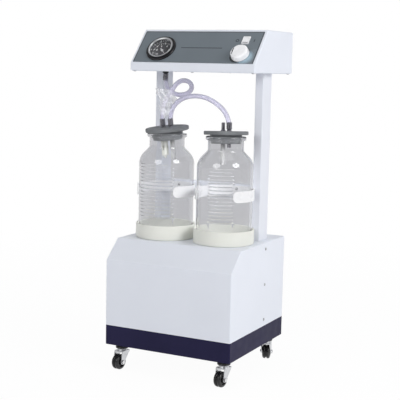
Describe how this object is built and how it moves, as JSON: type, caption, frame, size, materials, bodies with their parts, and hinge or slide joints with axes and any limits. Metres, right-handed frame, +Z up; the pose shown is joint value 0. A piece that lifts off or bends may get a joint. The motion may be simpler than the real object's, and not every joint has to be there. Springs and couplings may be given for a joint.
{
  "type": "suction pump",
  "caption": "Electric suction apparatus on castors: pump cabinet, glass collection jars held by clips, and a sloped control head on columns with vacuum gauge, regulator and switch.",
  "frame": {"origin": "middle of the footprint, on the floor", "axes": "+Z up, +X to the right seen from the front, -Y towards the user who faces the controls"},
  "size_m": [0.3636, 0.3524, 0.89],
  "materials": {
    "white_paint": "smooth semi-gloss enamel",
    "navy_paint": "smooth semi-gloss enamel",
    "column_paint": "smooth semi-gloss enamel",
    "plated_steel": "bright zinc plate",
    "inner_steel": "galvanised sheet",
    "bright_steel": "bright plated",
    "screw_steel": "plated",
    "fascia": "satin overlay",
    "glass": "clear moulded glass",
    "cream_plastic": "satin moulded",
    "dark_rubber": "matt",
    "dark_plastic": "satin moulded",
    "white_plastic": "glossy moulded",
    "fitting": "turned, bright",
    "hose": "clear soft tubing",
    "film": "thin clear film",
    "dial": "printed disc",
    "clear_window": "flat clear glass",
    "pointer": "matt",
    "motor_paint": "satin enamel",
    "cast_aluminium": "as cast",
    "castor_tread": "matt"
  },
  "bodies": {
    "chassis": {"base_tray": "navy_paint", "castor_stems": "dark_plastic", "castor_nuts": "bright_steel", "inner_frame": "inner_steel", "cabinet_cover": "white_paint", "rear_panel": "white_paint", "power_inlet": "dark_plastic", "fuse_holder": "dark_plastic", "left_column": "column_paint", "right_column": "column_paint", "jar_crossbar": "column_paint", "jar_clip_left": "plated_steel", "jar_clip_right": "plated_steel", "cup_left": "cream_plastic", "cup_right": "cream_plastic", "jar_left": "glass", "jar_right": "glass", "stopper_left": "dark_rubber", "stopper_right": "dark_rubber", "hose_fittings_left": "fitting", "hose_fittings_right": "fitting", "dip_tube_left": "hose", "dip_tube_right": "hose", "float_cage": "cream_plastic", "head_shell": "white_paint", "head_base_plate": "white_paint", "control_fascia": "fascia", "gauge_case": "dark_plastic", "gauge_dial": "dial", "gauge_window": "clear_window", "gauge_bezel": "bright_steel", "regulator_valve": "bright_steel", "switch_frame": "white_plastic", "vacuum_connector": "dark_plastic", "head_hose": "hose", "link_hose": "hose", "film_wrap": "film", "pump_mounts": "dark_rubber", "pump_motor": "motor_paint", "pump_heads": "cast_aluminium", "cover_screws": "screw_steel"},
    "overflow_float": {"overflow_float": "cream_plastic"},
    "gauge_needle": {"gauge_needle": "pointer"},
    "regulator_knob": {"regulator_knob": "white_plastic", "regulator_spindle": "bright_steel"},
    "switch_rocker": {"switch_rocker": "white_plastic"},
    "pump_rotor": {"motor_shaft": "screw_steel", "cooling_fans": "dark_plastic"},
    "castor_front_left": {"castor_fork_front_left": "plated_steel", "castor_axle_front_left": "bright_steel"},
    "wheel_front_left": {"castor_wheel_front_left": "castor_tread"},
    "castor_front_right": {"castor_fork_front_right": "plated_steel", "castor_axle_front_right": "bright_steel"},
    "wheel_front_right": {"castor_wheel_front_right": "castor_tread"},
    "castor_rear_left": {"castor_fork_rear_left": "plated_steel", "castor_axle_rear_left": "bright_steel"},
    "wheel_rear_left": {"castor_wheel_rear_left": "castor_tread"},
    "castor_rear_right": {"castor_fork_rear_right": "plated_steel", "castor_axle_rear_right": "bright_steel"},
    "wheel_rear_right": {"castor_wheel_rear_right": "castor_tread"}
  },
  "joints": [
    {"name": "front_left_swivel", "type": "hinge", "parent": "chassis", "child": "castor_front_left", "pos_m": [-0.149, -0.142, 0.048], "axis": [0, 0, 1], "continuous": true},
    {"name": "front_left_roll", "type": "hinge", "parent": "castor_front_left", "child": "wheel_front_left", "pos_m": [-0.15071, -0.1559, 0.02], "axis": [0.9925, -0.1219, 0], "continuous": true},
    {"name": "front_right_swivel", "type": "hinge", "parent": "chassis", "child": "castor_front_right", "pos_m": [0.149, -0.142, 0.048], "axis": [0, 0, 1], "continuous": true},
    {"name": "front_right_roll", "type": "hinge", "parent": "castor_front_right", "child": "wheel_front_right", "pos_m": [0.14705, -0.15586, 0.02], "axis": [0.9903, -0.1392, 0], "continuous": true},
    {"name": "rear_left_swivel", "type": "hinge", "parent": "chassis", "child": "castor_rear_left", "pos_m": [-0.149, 0.126, 0.048], "axis": [0, 0, 1], "continuous": true},
    {"name": "rear_left_roll", "type": "hinge", "parent": "castor_rear_left", "child": "wheel_rear_left", "pos_m": [-0.15143, 0.13979, 0.02], "axis": [-0.9848, -0.1736, 0], "continuous": true},
    {"name": "rear_right_swivel", "type": "hinge", "parent": "chassis", "child": "castor_rear_right", "pos_m": [0.149, 0.126, 0.048], "axis": [0, 0, 1], "continuous": true},
    {"name": "rear_right_roll", "type": "hinge", "parent": "castor_rear_right", "child": "wheel_rear_right", "pos_m": [0.14538, 0.13952, 0.02], "axis": [-0.9659, -0.2588, 0], "continuous": true},
    {"name": "float_rise", "type": "slide", "parent": "chassis", "child": "overflow_float", "axis": [-0.0728, -0.0867, 0.9936], "range_m": [0, 0.0135]},
    {"name": "needle_sweep", "type": "hinge", "parent": "chassis", "child": "gauge_needle", "pos_m": [-0.104, -0.03719, 0.83795], "axis": [0, -0.749, 0.6626], "range_deg": [0, 270]},
    {"name": "knob_turn", "type": "hinge", "parent": "chassis", "child": "regulator_knob", "pos_m": [0.129, -0.04846, 0.82522], "axis": [0, -0.749, 0.6626], "range_deg": [-135, 135]},
    {"name": "rocker_tilt", "type": "hinge", "parent": "chassis", "child": "switch_rocker", "pos_m": [0.129, -0.01749, 0.86324], "axis": [1, 0, 0], "range_deg": [0, 16]},
    {"name": "pump_spin", "type": "hinge", "parent": "chassis", "child": "pump_rotor", "pos_m": [0, -0.076, 0.162], "axis": [1, 0, 0], "continuous": true}
  ]
}
